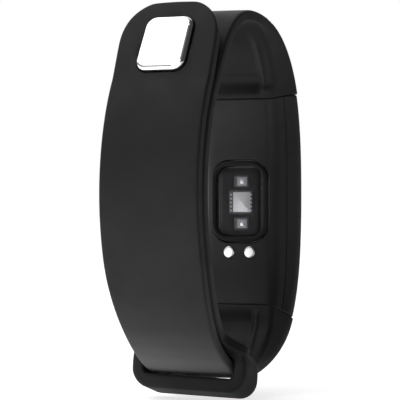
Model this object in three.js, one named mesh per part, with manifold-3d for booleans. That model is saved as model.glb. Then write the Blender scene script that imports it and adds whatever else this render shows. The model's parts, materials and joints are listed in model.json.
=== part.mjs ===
// Fitness tracker band: a curved tracker module closed into an oval by a two-part rubber strap.
// Millimetres, +Z up. X is the wrist's axis, +Y points to the display, and the origin is the
// middle of the wrist opening.

import * as THREE from "three";
import Module from "manifold-3d";
import { mergeVertices } from "three/addons/utils/BufferGeometryUtils.js";

const wasm = await Module();
wasm.setup();

// ---------------------------------------------------------------- driving dimensions

// Band oval: the outer face of module and strap in the YZ plane. Angles along it are in
// degrees from +Y through +Z: 0 display, 90 top, 180 clasp side, 270 bottom.
const ovalCentreY = 4.2;
const ovalCentreZ = 1.0;
const ovalHalfDepth = 24.1;
const ovalHalfHeight = 32.0;
// The display side stands out from a plain oval at its shoulders, partly as a thicker wall.
const shoulderBulge = 2.0;
const shoulderThickening = 1.2;

const strapThickness = 2.15;
const moduleThickness = 9.0;
const bandHalfWidth = 9.0;
const neckHalfWidth = 8.05;
const neck = { from: 200, narrow: 240, widen: 285, to: 315 };
const flankSlope = 0.33;
const edgeChamfer = 0.5;
const sideHeight = 1.4;
const stationStep = 4;
const layerGap = 0.35;

const upperSeam = { y: 17.5, z: 18.6, slope: 5, side: 1, pinAngle: 34.95, pinLean: 22.8 };
const lowerSeam = { y: 17.5, z: -19.2, slope: -22, side: -1, pinAngle: -43.05, pinLean: 34.1 };
const seamGap = 0.3;
const moduleSweep = { from: -52, to: 44 };

const wall = 1.2;
const frontWall = 1.9;
const partingShare = 0.58;
const partingGap = 0.2;
const cavity = { from: -50, to: 42, frontInset: 1.35, backInset: 0.9 };
const gasket = { from: -39.8, to: 30.6, halfWidth: 6.1, wall: 0.6, thickness: 1.0, endWall: 1.4 };

const lens = { from: -31, to: 26, halfWidth: 7.6, thickness: 0.9, gap: 0.12, endGap: 0.3 };
const display = { halfWidth: 5.4, halfHeight: 11, centreZ: 1.2, y: 24.75, thickness: 1.1, gap: 0.3 };
const displayCable = { halfWidth: 3, halfHeight: 4, shift: 5, gap: 0.08, thickness: 0.14 };
const mainBoard = { halfWidth: 5.2, halfHeight: 12.6, centreZ: 1.2, y: 23.85, thickness: 0.6 };
const battery = { halfWidth: 5.0, halfHeight: 10.2, centreZ: 3.6, y: 21.35, thickness: 2.2 };
const shield = { halfWidth: 4.6, halfHeight: 2.1, centreZ: -9.2, y: 22.3, thickness: 1.4, skin: 0.2 };

const sensorWindow = { halfWidth: 5.6, halfHeight: 7.4, radius: 3.5, centreZ: -0.25 };
const windowFaceY = 19.1;
const windowThickness = 0.5;
const sensorClearance = 0.15;
const sensorPartY = 19.65;
const sensorPartHeight = 0.5;
const sensorBoard = { halfWidth: 4.4, halfHeight: 6.4, centreZ: -0.4, y: 20.22, thickness: 0.45 };
const baffle = { halfWidth: 3.6, halfHeight: 6.2, gap: 0.25 };
const photodiode = { halfWidth: 2.25, halfHeight: 2.0, x: -0.05, z: -0.4 };
const led = { halfWidth: 1.35, halfHeight: 0.95, x: 0.1, upperZ: 3.4, lowerZ: -4.3 };

const contact = { radius: 1.05, edge: 0.13, flangeRadius: 1.5, halfPitch: 2.03, z: -9.5,
  faceY: 18.95, flangeY: 20.55, backY: 20.9, gap: 0.12 };

const motor = { radius: 2.9, height: 1.8, skin: 0.2, gap: 0.2, y: 20.4, z: -14.2 };
const motorShaft = { radius: 0.35, gap: 0.08, end: 0.05, bush: 0.9 };

// The loop hangs a little aslant: its outer bar lies further back, and one side lower.
const loop = { angle: 258, length: 6.6, halfWidth: 10.7, wall: 2.2, bar: 2.4, slack: 0.6, radius: 3.2,
  slotRadius: 0.7, rise: 0.9, slant: 0.25, roll: 1.5 };
const shoulder = { from: 236, to: 250 };

const flex = { angle: 245, lowerGap: 0.2, tailGap: 0.4 };
const tipAngle = 114.5;
const tipLift = { amount: 4.5, from: 143, span: 28, power: 1.4 };
const duck = { from: 100, to: 140 };
const tip = { length: 18, step: 1.2, arc: 0.52, rounding: 8.5, power: 2.3, halfWidth: 1.2 };

const plate = { angle: 130.9, halfWidth: 4.4, halfLength: 5.0, radius: 2.0, thickness: 1.7, sunk: 0.85,
  gap: 0.25 };
const stud = { neckRadius: 1.2, bulbRadius: 1.6, bulbHeight: 1.5, reach: 5.1, edge: 0.5, lead: 0.4,
  gap: 0.15 };
const washer = { radius: 2.6, thickness: 0.4, bore: 1.3, recess: 0.05, gap: 0.15 };
const hole = { halfWidth: 1.85, halfLength: 2.75, shift: 0.8, pitch: 14, count: 8 };

// Each scoop hollows the strap's inner face and fades out along the band.
const scoop = { depth: 1.1, start: 1.9, over: 0.2 };
const upperScoop = { from: 30, to: 66, fadeFrom: 46, halfWidth: 5.2 };
const lowerScoop = { from: -74, to: -34, fadeFrom: -54, halfWidth: 4.8 };

const anchor = { halfWidth: 5.2, inset: 0.75, thickness: 1.7, depth: 6.0, gap: 0.3 };
const pin = { radius: 0.45, halfLength: 1.8, halfPitch: 3.2, gap: 0.15 };

// Cutters reach this far past the faces that they cut.
const clear = 5;

// ---------------------------------------------------------------- solids and booleans

function toSolid(geometry) {
  const bare = geometry.clone();
  bare.deleteAttribute("normal");
  bare.deleteAttribute("uv");
  const merged = mergeVertices(bare, 1e-5);
  return new wasm.Manifold(new wasm.Mesh({
    numProp: 3,
    vertProperties: new Float32Array(merged.attributes.position.array),
    triVerts: new Uint32Array(merged.index.array),
  }));
}

function toGeometry(solid) {
  const mesh = solid.getMesh();
  const geometry = new THREE.BufferGeometry();
  geometry.setAttribute("position", new THREE.BufferAttribute(mesh.vertProperties, 3));
  geometry.setIndex(new THREE.BufferAttribute(mesh.triVerts, 1));
  geometry.computeVertexNormals();
  return geometry;
}

// A box given by its middle on X, its lowest Y, and its middle on Z.
function box(halfX, lowY, sizeY, halfZ, middleZ, middleX = 0) {
  const geometry = new THREE.BoxGeometry(2 * halfX, sizeY, 2 * halfZ);
  return geometry.translate(middleX, lowY + sizeY / 2, middleZ);
}

// A turned piece about a line along Y; the profile is [radius, y] pairs, ends on the axis.
function turned(profile, x, z, segments = 18) {
  const points = profile.map(([radius, y]) => new THREE.Vector2(radius, y));
  return new THREE.LatheGeometry(points, segments).translate(x, 0, z);
}

function rod(radius, lowY, highY, x, z) {
  return turned([[0, lowY], [radius, lowY], [radius, highY], [0, highY]], x, z);
}

function roundedRectangle(halfWidth, halfHeight, radius) {
  const shape = new THREE.Shape();
  shape.absarc(halfWidth - radius, halfHeight - radius, radius, 0, Math.PI / 2);
  shape.absarc(-halfWidth + radius, halfHeight - radius, radius, Math.PI / 2, Math.PI);
  shape.absarc(-halfWidth + radius, -halfHeight + radius, radius, Math.PI, 1.5 * Math.PI);
  shape.absarc(halfWidth - radius, -halfHeight + radius, radius, 1.5 * Math.PI, 2 * Math.PI);
  shape.closePath();
  return shape;
}

// A rounded plate whose outline lies in XZ and whose thickness runs along +Y from lowY.
function roundedPlate(halfWidth, halfHeight, radius, lowY, thickness, curveSegments = 3) {
  const settings = { depth: thickness, bevelEnabled: false, curveSegments };
  const outline = roundedRectangle(halfWidth, halfHeight, radius);
  return new THREE.ExtrudeGeometry(outline, settings).rotateX(Math.PI / 2)
    .translate(0, lowY + thickness, 0);
}

// ---------------------------------------------------------------- the band's oval

const smooth = (low, high, value) => THREE.MathUtils.smoothstep(value, low, high);
const radians = THREE.MathUtils.degToRad;

function ovalPoint(angle, offset = 0) {
  const cosine = Math.cos(radians(angle));
  const sine = Math.sin(radians(angle));
  const normal = new THREE.Vector2(cosine / ovalHalfDepth, sine / ovalHalfHeight).normalize();
  const bulge = cosine > 0 ? shoulderBulge * (2 * sine * cosine) ** 2 : 0;
  return new THREE.Vector2(ovalCentreY + ovalHalfDepth * cosine, ovalCentreZ + ovalHalfHeight * sine)
    .addScaledVector(normal, bulge + offset);
}

// Axes at a point of a layer: X across the band, Y outwards, Z along the band by rising angle.
function frameOn(offsetAt, angle) {
  const before = ovalPoint(angle - 0.5, offsetAt(angle - 0.5));
  const after = ovalPoint(angle + 0.5, offsetAt(angle + 0.5));
  const across = new THREE.Vector3(1, 0, 0);
  const along = new THREE.Vector3(0, after.x - before.x, after.y - before.y).normalize();
  const outward = new THREE.Vector3().crossVectors(along, across);
  const origin = ovalPoint(angle, offsetAt(angle));
  return new THREE.Matrix4().makeBasis(across, outward, along).setPosition(0, origin.x, origin.y);
}

// Sweeps a convex section along the oval. section(angle) gives [x, offset] pairs in order
// round the section, starting on the outer face and going towards +X first.
function sweep(from, to, section, step = stationStep) {
  const count = Math.max(2, Math.ceil(Math.abs(to - from) / step));
  const positions = [];
  const index = [];
  let size = 0;
  for (let station = 0; station <= count; station += 1) {
    const angle = from + ((to - from) * station) / count;
    const ring = section(angle);
    size = ring.length;
    for (const [x, offset] of ring) {
      const point = ovalPoint(angle, offset);
      positions.push(x, point.x, point.y);
    }
  }
  for (let station = 0; station < count; station += 1) {
    for (let corner = 0; corner < size; corner += 1) {
      const a = station * size + corner;
      const b = station * size + ((corner + 1) % size);
      index.push(a, a + size, b, b, a + size, b + size);
    }
  }
  const last = count * size;
  for (let corner = 1; corner < size - 1; corner += 1) {
    index.push(0, corner, corner + 1);
    index.push(last, last + corner + 1, last + corner);
  }
  const geometry = new THREE.BufferGeometry();
  geometry.setAttribute("position", new THREE.Float32BufferAttribute(positions, 3));
  geometry.setIndex(index);
  return geometry;
}

const mirrored = (half) => [...half, ...half.map(([x, offset]) => [-x, offset]).reverse()];

function slabSection(halfWidth, top, bottom) {
  return () => mirrored([[halfWidth, top], [halfWidth, bottom]]);
}

// ---------------------------------------------------------------- band profile

function depthAt(angle) {
  const cosine = Math.max(0, Math.cos(radians(angle)));
  const shoulders = shoulderThickening * (2 * cosine * Math.sin(radians(angle))) ** 2;
  return strapThickness + (moduleThickness - strapThickness) * cosine ** 2 + shoulders;
}

// The strap narrows where it passes through the keeper loop.
function halfWidthAt(angle) {
  const near = smooth(neck.from, neck.narrow, angle) * (1 - smooth(neck.widen, neck.to, angle));
  return bandHalfWidth - (bandHalfWidth - neckHalfWidth) * near;
}

function bandSection(angle) {
  const depth = depthAt(angle);
  const outer = halfWidthAt((angle + 360) % 360);
  const inner = outer - flankSlope * (depth - strapThickness);
  return mirrored([
    [outer - edgeChamfer, 0],
    [outer, -edgeChamfer],
    [outer, -sideHeight],
    [inner, edgeChamfer - depth],
    [inner - edgeChamfer, -depth],
  ]);
}

// A flat layer of strap whose outer face lies at offsetAt(angle) from the oval.
function layerSection(offsetAt, widthAt) {
  return (angle) => {
    const top = offsetAt(angle);
    const half = widthAt(angle);
    return mirrored([
      [half - edgeChamfer, top],
      [half, top - edgeChamfer],
      [half, top - strapThickness + edgeChamfer],
      [half - edgeChamfer, top - strapThickness],
    ]);
  };
}

// Everything beyond a seam plane, moved outwards along the band by a distance.
function beyond(seam, distance) {
  const size = 80;
  const block = new THREE.BoxGeometry(size, size, size).translate(0, 0, (seam.side * size) / 2);
  return toSolid(block.rotateX(radians(seam.slope))
    .translate(0, seam.y, seam.z + seam.side * distance));
}

// ---------------------------------------------------------------- module shells

function moduleShell() {
  const body = toSolid(sweep(moduleSweep.from, moduleSweep.to, bandSection));
  const space = toSolid(sweep(cavity.from, cavity.to, (angle) => {
    const depth = depthAt(angle);
    const inner = bandHalfWidth - flankSlope * (depth - strapThickness);
    return mirrored([[bandHalfWidth - cavity.frontInset, -frontWall],
      [inner - cavity.backInset, wall - depth]]);
  }));
  const room = space.subtract(beyond(upperSeam, -wall)).subtract(beyond(lowerSeam, -wall));
  return body.subtract(beyond(upperSeam, -seamGap / 2)).subtract(beyond(lowerSeam, -seamGap / 2))
    .subtract(room);
}

// A slab wider and longer than the module, between two offsets that depend on its depth.
function share(top, bottom) {
  const over = 4;
  const half = 2 * bandHalfWidth;
  return toSolid(sweep(moduleSweep.from - over, moduleSweep.to + over,
    (angle) => mirrored([[half, top(depthAt(angle))], [half, bottom(depthAt(angle))]])));
}

const shell = moduleShell();

function frontHousing() {
  const half = share(() => clear, (depth) => partingGap / 2 - partingShare * depth);
  const recess = sweep(lens.from - lens.endGap, lens.to + lens.endGap,
    slabSection(lens.halfWidth + lens.gap, clear, -lens.thickness - lens.gap));
  const opening = box(display.halfWidth + display.gap, display.y - clear, 2 * clear,
    display.halfHeight + display.gap, display.centreZ);
  const housing = shell.intersect(half).subtract(toSolid(recess)).subtract(toSolid(opening));
  return cutPinHoles(cutPinHoles(housing, upperSeam), lowerSeam);
}

function backCover() {
  const half = share((depth) => -partingGap / 2 - partingShare * depth, (depth) => -depth - clear);
  const windowHole = roundedPlate(sensorWindow.halfWidth + sensorClearance,
    sensorWindow.halfHeight + sensorClearance, sensorWindow.radius + sensorClearance,
    windowFaceY - clear, 2 * clear)
    .translate(0, 0, sensorWindow.centreZ);
  let cover = shell.intersect(half).subtract(toSolid(windowHole));
  for (const side of [-1, 1]) {
    const hole = rod(contact.radius + contact.gap, contact.faceY - clear, contact.faceY + clear,
      side * contact.halfPitch, contact.z);
    cover = cover.subtract(toSolid(hole));
  }
  return cover;
}

function caseGasket() {
  const middle = (angle) => -partingShare * depthAt(angle);
  const bar = (halfWidth, halfHeight) => (angle) => mirrored([
    [halfWidth, middle(angle) + halfHeight], [halfWidth, middle(angle) - halfHeight]]);
  const { from, to, halfWidth, wall: side, thickness, endWall } = gasket;
  return toSolid(sweep(from, to, bar(halfWidth, thickness / 2)))
    .subtract(toSolid(sweep(from + endWall, to - endWall, bar(halfWidth - side, clear))));
}

const frontLens = () => toSolid(sweep(lens.from, lens.to, slabSection(lens.halfWidth, 0, -lens.thickness)));

// ---------------------------------------------------------------- inside the module

const slab = (size) => box(size.halfWidth, size.y, size.thickness, size.halfHeight, size.centreZ);

function displayPanel() {
  return toSolid(slab(display));
}

// The flat cable folds under the panel and lies between it and the main board.
function displayFlex() {
  const { halfWidth, halfHeight, shift, gap, thickness } = displayCable;
  return toSolid(box(halfWidth, display.y - gap - thickness, thickness, halfHeight,
    display.centreZ + shift));
}

function shieldCan() {
  const { skin } = shield;
  const inside = { ...shield, halfWidth: shield.halfWidth - skin, halfHeight: shield.halfHeight - skin,
    y: shield.y + skin };
  return toSolid(slab(shield)).subtract(toSolid(slab(inside)));
}

function window() {
  return roundedPlate(sensorWindow.halfWidth, sensorWindow.halfHeight, sensorWindow.radius,
    windowFaceY, windowThickness).translate(0, 0, sensorWindow.centreZ);
}

function sensorChip(size, z) {
  return box(size.halfWidth, sensorPartY, sensorPartHeight, size.halfHeight, z, size.x);
}

function lightBaffle() {
  const cells = [[photodiode, photodiode.z], [led, led.upperZ], [led, led.lowerZ]];
  let grid = toSolid(box(baffle.halfWidth, sensorPartY, sensorPartHeight, baffle.halfHeight,
    sensorBoard.centreZ));
  for (const [size, z] of cells) {
    const cell = box(size.halfWidth + baffle.gap, sensorPartY - clear, 2 * clear,
      size.halfHeight + baffle.gap, z, size.x);
    grid = grid.subtract(toSolid(cell));
  }
  return grid;
}

function chargeContact(side) {
  const { radius, edge, flangeRadius, faceY, flangeY, backY } = contact;
  return turned([[0, faceY], [radius - edge, faceY], [radius, faceY + edge], [radius, flangeY],
    [flangeRadius, flangeY], [flangeRadius, backY], [0, backY]], side * contact.halfPitch, contact.z);
}

function motorCase() {
  const { radius, height, skin, y, z } = motor;
  const top = y + height;
  const inner = radius - skin;
  return turned([[0, y], [radius, y], [radius, top], [inner, top], [inner, y + skin], [0, y + skin]],
    0, z);
}

// A half disc that turns off its balance, on a bush round the shaft.
function motorRotor() {
  const { radius, height, skin, gap, y, z } = motor;
  const low = y + skin + gap;
  const high = y + height - gap;
  const reach = radius - skin - gap;
  const half = box(2 * reach, low - clear, 3 * clear, reach, z - reach);
  const disc = toSolid(rod(reach, low, high, 0, z)).intersect(toSolid(half));
  const bore = rod(motorShaft.radius + motorShaft.gap, low - clear, high + clear, 0, z);
  return disc.add(toSolid(rod(motorShaft.bush, low, high, 0, z))).subtract(toSolid(bore));
}

function motorAxle() {
  const { radius, end } = motorShaft;
  return rod(radius, motor.y + motor.skin + end, motor.y + motor.height - end, 0, motor.z);
}

// ---------------------------------------------------------------- strap anchors

function anchorBlank(seam, grow = 0) {
  const reach = 20;
  const plateSweep = sweep(seam.pinAngle - reach, seam.pinAngle + reach,
    slabSection(anchor.halfWidth + grow, grow - anchor.inset,
      -anchor.inset - anchor.thickness - grow));
  return toSolid(plateSweep).intersect(beyond(seam, grow > 0 ? -clear : seamGap))
    .subtract(beyond(seam, anchor.depth + grow));
}

const anchorPlate = (seam) => cutPinHoles(anchorBlank(seam), seam);

// A pin from inside the module's end wall, across the seam, into the anchor plate.
function anchorPin(seam, side, grow = 0) {
  const middle = ovalPoint(seam.pinAngle, -anchor.inset - anchor.thickness / 2);
  return toSolid(rod(pin.radius + grow, -pin.halfLength - grow, pin.halfLength + grow, 0, 0)
    .rotateX(radians(90 + seam.side * seam.pinLean)).translate(side * pin.halfPitch, middle.x, middle.y));
}

function cutPinHoles(solid, seam) {
  return solid.subtract(anchorPin(seam, -1, pin.gap)).subtract(anchorPin(seam, 1, pin.gap));
}

// ---------------------------------------------------------------- straps

// The rubber is hollowed out between two ribs, behind a cross wall next to the seam.
function scoopCutter(seam, { from, to, fadeFrom, halfWidth }) {
  const end = seam.side > 0 ? to : from;
  const hollow = sweep(from, to, (angle) => {
    const fade = smooth(0, 1, (angle - fadeFrom) / (end - fadeFrom));
    const floor = scoop.depth - (scoop.depth + scoop.over) * fade - depthAt(angle);
    return mirrored([[halfWidth, floor], [halfWidth, floor - clear]]);
  });
  return toSolid(hollow).intersect(beyond(seam, scoop.start));
}

const innerLayerOffset = (angle) => -(strapThickness + layerGap) * smooth(duck.from, duck.to, angle);
const claspOffset = (angle) => tipLift.amount
  * (Math.max(0, tipLift.from - angle) / tipLift.span) ** tipLift.power;

// The loop's axes: X across the band, Y outwards, Z along the band.
function loopFrame() {
  const slanted = new THREE.Matrix4().makeShear(0, 0, 0, loop.slant, 0, 0);
  return frameOn(() => 0, loop.angle).multiply(new THREE.Matrix4().makeRotationZ(radians(loop.roll)))
    .multiply(slanted);
}

function stadium(halfWidth, halfLength, lowY, thickness) {
  return roundedPlate(halfWidth, halfLength, halfWidth - 0.01, lowY, thickness, 2);
}

function upperStrap() {
  // The end flares out into shoulders as wide as the keeper loop.
  const layer = (angle) => {
    const offset = innerLayerOffset(angle);
    const half = halfWidthAt(angle);
    const flare = 1 + (loop.halfWidth / half - 1) * smooth(shoulder.from, shoulder.to, angle);
    return bandSection(angle).map(([x, inset]) => [x * flare, inset + offset]);
  };
  const size = 4 * clear;
  const trim = box(size, -size, 2 * size, size, size - loop.length / 2 - layerGap);
  const claspSide = box(2 * size, -3 * size, 3 * size, 3 * size, 0);
  let strap = toSolid(sweep(28, loop.angle, layer))
    .intersect(beyond(upperSeam, seamGap / 2).add(toSolid(claspSide)));
  strap = strap.subtract(toSolid(trim.applyMatrix4(loopFrame())));
  strap = strap.subtract(scoopCutter(upperSeam, upperScoop))
    .subtract(anchorBlank(upperSeam, anchor.gap));
  strap = cutPinHoles(strap, upperSeam);
  for (let row = 0; row < hole.count; row += 1) {
    const frame = row === 0 ? frameOn(claspOffset, plate.angle)
      : frameOn(innerLayerOffset, plate.angle + row * hole.pitch);
    const cutter = stadium(hole.halfWidth, hole.halfLength, -2 * clear, 3 * clear)
      .translate(0, 0, hole.shift);
    strap = strap.subtract(toSolid(cutter.applyMatrix4(frame)));
  }
  return strap;
}

function lowerStrap() {
  const strap = toSolid(sweep(flex.angle - 360 + flex.lowerGap, -36, bandSection));
  const cut = strap.intersect(beyond(lowerSeam, seamGap / 2))
    .subtract(scoopCutter(lowerSeam, lowerScoop)).subtract(anchorBlank(lowerSeam, anchor.gap));
  return cutPinHoles(cut, lowerSeam);
}

// A closed frame moulded to the end of the upper strap; the lower strap passes through it.
function keeperLoop() {
  const top = -2 * strapThickness - layerGap;
  const bottom = loop.slack + loop.bar;
  const slotTop = -strapThickness - loop.rise;
  const outline = roundedRectangle(loop.halfWidth, (bottom - top) / 2, loop.radius);
  const slot = roundedRectangle(loop.halfWidth - loop.wall, (loop.slack - slotTop) / 2,
    loop.slotRadius);
  const lift = (loop.slack + slotTop) / 2 - (bottom + top) / 2;
  outline.holes.push(new THREE.Path(slot.getPoints(4).map((point) => point.setY(point.y + lift))
    .slice(0, -1).reverse()));
  const settings = { depth: loop.length, bevelEnabled: false, curveSegments: 3 };
  const ring = new THREE.ExtrudeGeometry(outline, settings)
    .translate(0, (bottom + top) / 2, -loop.length / 2);
  return toSolid(ring.applyMatrix4(loopFrame()));
}

function clasp() {
  const frame = frameOn(claspOffset, plate.angle);
  const placed = (geometry) => toSolid(geometry.applyMatrix4(frame));
  const metal = (grow) => roundedPlate(plate.halfWidth + grow, plate.halfLength + grow,
    plate.radius + grow, -plate.sunk - grow, plate.thickness + 2 * grow);
  const backFace = -strapThickness;
  const neckTop = -plate.sunk - stud.gap;
  const { neckRadius, bulbRadius, bulbHeight, reach, edge, lead } = stud;
  const studPiece = turned([[0, -reach], [bulbRadius - edge, -reach], [bulbRadius, lead - reach],
    [bulbRadius, bulbHeight - edge - reach], [neckRadius, bulbHeight - reach],
    [neckRadius, neckTop], [0, neckTop]], 0, 0);
  const low = backFace + washer.recess;
  const high = low + washer.thickness;
  const washerPiece = turned([[washer.bore, low], [washer.radius, low], [washer.radius, high],
    [washer.bore, high], [washer.bore, low]], 0, 0);

  const widthAt = (angle) => {
    const distance = (angle - tipAngle) * tip.arc;
    const left = Math.max(0, 1 - distance / tip.rounding);
    return Math.max(tip.halfWidth, halfWidthAt(angle) * (1 - left ** tip.power) ** (1 / tip.power));
  };
  const section = layerSection(claspOffset, widthAt);
  const round = toSolid(sweep(tipAngle, tipAngle + tip.length, section, tip.step));
  const rest = toSolid(sweep(tipAngle + tip.length, flex.angle - flex.tailGap, section));
  const bore = rod(neckRadius + stud.gap, -clear, clear, 0, 0);
  const seat = rod(washer.radius + washer.gap, -clear, high + washer.gap, 0, 0);
  const rubber = round.add(rest).subtract(placed(metal(plate.gap))).subtract(placed(bore))
    .subtract(placed(seat));
  return { rubber, metal: placed(metal(0)), stud: placed(studPiece), washer: placed(washerPiece) };
}

// ---------------------------------------------------------------- assembly

const finish = {
  rubber: { color: 0x1c1c1d, roughness: 0.75, metalness: 0 },
  housing: { color: 0x18181a, roughness: 0.5, metalness: 0 },
  lensGlass: { color: 0x0a0a0c, roughness: 0.08, metalness: 0 },
  steel: { color: 0xd8d8d6, roughness: 0.15, metalness: 1 },
  board: { color: 0x10341e, roughness: 0.5, metalness: 0 },
  silver: { color: 0xb9bcc0, roughness: 0.35, metalness: 0.9 },
  pouch: { color: 0x9da0a4, roughness: 0.4, metalness: 0.3 },
  whitePlastic: { color: 0xd9d8cf, roughness: 0.6, metalness: 0 },
  film: { color: 0xc07a22, roughness: 0.5, metalness: 0 },
};

const band = new THREE.Group();

function add(name, shape, look) {
  const geometry = shape.isBufferGeometry ? toGeometry(toSolid(shape)) : toGeometry(shape);
  const mesh = new THREE.Mesh(geometry, new THREE.MeshStandardMaterial(finish[look]));
  mesh.name = name;
  band.add(mesh);
}

add("front_lens", frontLens(), "lensGlass");
add("front_housing", frontHousing(), "housing");
add("back_cover", backCover(), "housing");
add("case_gasket", caseGasket(), "rubber");
add("display_panel", displayPanel(), "lensGlass");
add("display_flex", displayFlex(), "film");
add("main_board", slab(mainBoard), "board");
add("shield_can", shieldCan(), "silver");
add("battery", slab(battery), "pouch");

add("sensor_window", window(), "lensGlass");
add("sensor_board", slab(sensorBoard), "board");
add("light_baffle", lightBaffle(), "housing");
add("photodiode", sensorChip(photodiode, photodiode.z), "whitePlastic");
add("led_upper", sensorChip(led, led.upperZ), "whitePlastic");
add("led_lower", sensorChip(led, led.lowerZ), "whitePlastic");
add("charge_contact_left", chargeContact(-1), "steel");
add("charge_contact_right", chargeContact(1), "steel");

add("vibration_motor_case", motorCase(), "steel");
add("vibration_motor_shaft", motorAxle(), "steel");
add("vibration_motor_rotor", motorRotor(), "steel");

add("upper_strap", upperStrap(), "rubber");
add("keeper_loop", keeperLoop(), "rubber");
add("lower_strap", lowerStrap(), "rubber");
for (const [end, seam] of [["upper", upperSeam], ["lower", lowerSeam]]) {
  add(`${end}_anchor_plate`, anchorPlate(seam), "housing");
  add(`${end}_anchor_pin_left`, anchorPin(seam, -1), "steel");
  add(`${end}_anchor_pin_right`, anchorPin(seam, 1), "steel");
}

const claspPieces = clasp();
add("clasp_strap", claspPieces.rubber, "rubber");
add("clasp_plate", claspPieces.metal, "steel");
add("clasp_stud", claspPieces.stud, "steel");
add("clasp_washer", claspPieces.washer, "steel");

export default band;
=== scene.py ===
"""Fitness tracker band: fine meshes, materials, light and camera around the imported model."""
import json
import math

import bmesh
import bpy
import numpy as np
from mathutils import Matrix, Vector


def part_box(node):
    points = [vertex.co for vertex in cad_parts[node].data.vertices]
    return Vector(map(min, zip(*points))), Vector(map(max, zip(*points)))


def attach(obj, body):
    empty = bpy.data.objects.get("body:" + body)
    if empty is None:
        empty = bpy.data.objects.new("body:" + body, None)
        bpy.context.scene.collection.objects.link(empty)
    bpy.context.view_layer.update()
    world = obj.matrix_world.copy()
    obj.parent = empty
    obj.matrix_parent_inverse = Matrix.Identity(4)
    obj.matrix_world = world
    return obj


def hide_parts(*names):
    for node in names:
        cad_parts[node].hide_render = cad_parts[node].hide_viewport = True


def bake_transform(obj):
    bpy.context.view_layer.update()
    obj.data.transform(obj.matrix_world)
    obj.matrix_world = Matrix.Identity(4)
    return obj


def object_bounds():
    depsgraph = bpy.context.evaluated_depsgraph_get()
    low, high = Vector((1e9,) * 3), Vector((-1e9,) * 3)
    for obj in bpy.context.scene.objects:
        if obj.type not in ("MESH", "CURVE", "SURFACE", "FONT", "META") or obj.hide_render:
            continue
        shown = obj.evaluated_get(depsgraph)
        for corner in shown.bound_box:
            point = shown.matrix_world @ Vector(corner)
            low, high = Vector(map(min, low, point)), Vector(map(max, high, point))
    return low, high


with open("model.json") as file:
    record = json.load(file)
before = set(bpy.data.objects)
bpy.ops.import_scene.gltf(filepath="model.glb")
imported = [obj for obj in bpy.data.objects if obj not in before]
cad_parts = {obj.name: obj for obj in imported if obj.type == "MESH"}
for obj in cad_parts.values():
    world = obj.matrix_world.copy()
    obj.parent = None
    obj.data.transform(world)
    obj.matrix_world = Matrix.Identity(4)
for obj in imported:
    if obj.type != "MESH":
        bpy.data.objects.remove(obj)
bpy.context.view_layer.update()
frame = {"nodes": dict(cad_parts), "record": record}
nodes = frame["nodes"]

MM = 0.001

# ---------------------------------------------------------------- the band's oval, in mm
# The same driving dimensions as the CAD model's. Angles are in degrees from the display side
# through the top: 0 display, 90 top, 180 clasp side, 270 bottom.

OVAL_Y, OVAL_Z = 4.2, 1.0
OVAL_DEPTH, OVAL_HEIGHT = 24.1, 32.0
BULGE, THICKENING = 2.0, 1.2
STRAP = 2.15
MODULE = 9.0
HALF_WIDTH, NECK_HALF_WIDTH = 9.0, 8.05
FLANK_SLOPE = 0.33
SIDE = 1.4
LAYER_GAP = 0.35
UPPER_SEAM = (17.5, 18.6, 5.0)
LOWER_SEAM = (17.5, -19.2, -22.0)
PARTING = 0.58
LENS_X, LENS_FROM, LENS_TO = 7.6, -31.0, 26.0
WALL = 1.2
TIP_LIFT, TIP_LIFT_FROM, TIP_LIFT_REACH = 4.5, 143, 28
TIP, TIP_ARC, TIP_ROUNDING = 114.5, 0.52, 8.5
PLATE_ANGLE, PLATE_X, PLATE_Z, PLATE_RADIUS = 130.9, 4.4, 5.0, 2.0
PLATE_TOP, PLATE_SUNK = 0.85, 0.85
PLATE_TAPER, PLATE_LEAN = 0.004, 0.07
LOOP_ANGLE, LOOP_LENGTH, LOOP_HALF_WIDTH = 258.0, 6.6, 10.7
LOOP_WALL, LOOP_BAR, LOOP_SLACK, LOOP_RISE = 2.2, 2.4, 0.6, 0.9
LOOP_SLANT, LOOP_ROLL = 0.25, 1.5


def smooth(low, high, value):
    t = np.clip((value - low) / (high - low), 0.0, 1.0)
    return t * t * (3 - 2 * t)


def oval(angle, offset):
    """Y and Z of points at an angle, offset outwards from the oval."""
    c, s = np.cos(np.radians(angle)), np.sin(np.radians(angle))
    ny, nz = c / OVAL_DEPTH, s / OVAL_HEIGHT
    size = np.hypot(ny, nz)
    reach = offset + np.where(c > 0, BULGE * (2 * s * c) ** 2, 0)
    return OVAL_Y + OVAL_DEPTH * c + reach * ny / size, OVAL_Z + OVAL_HEIGHT * s + reach * nz / size


def depth(angle):
    c, s = np.maximum(0, np.cos(np.radians(angle))), np.sin(np.radians(angle))
    return STRAP + (MODULE - STRAP) * c ** 2 + THICKENING * (2 * s * c) ** 2


def half_width(angle):
    near = smooth(200, 240, angle) * (1 - smooth(285, 315, angle))
    return HALF_WIDTH - (HALF_WIDTH - NECK_HALF_WIDTH) * near


def clasp_offset(angle):
    """The free tail's tip stands a little off the oval."""
    return TIP_LIFT * (np.maximum(0, TIP_LIFT_FROM - angle) / TIP_LIFT_REACH) ** 1.4


def inner_offset(angle):
    """The inner layer ducks under the free tail."""
    return -(STRAP + LAYER_GAP) * smooth(100, 140, angle)


def seam_angle(seam, share, low, high):
    """The angle at which a seam plane meets the band, at a share of its depth from outside."""
    y0, z0, slope = seam
    for _ in range(40):
        middle = (low + high) / 2
        y, z = oval(middle, -share * depth(middle))
        if z - z0 - math.tan(math.radians(slope)) * (y - y0) > 0:
            high = middle
        else:
            low = middle
    return (low + high) / 2


UPPER_OUT, UPPER_IN = (seam_angle(UPPER_SEAM, share, 10, 70) for share in (0, 1))
LOWER_OUT, LOWER_IN = (seam_angle(LOWER_SEAM, share, -70, -10) for share in (0, 1))


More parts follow.
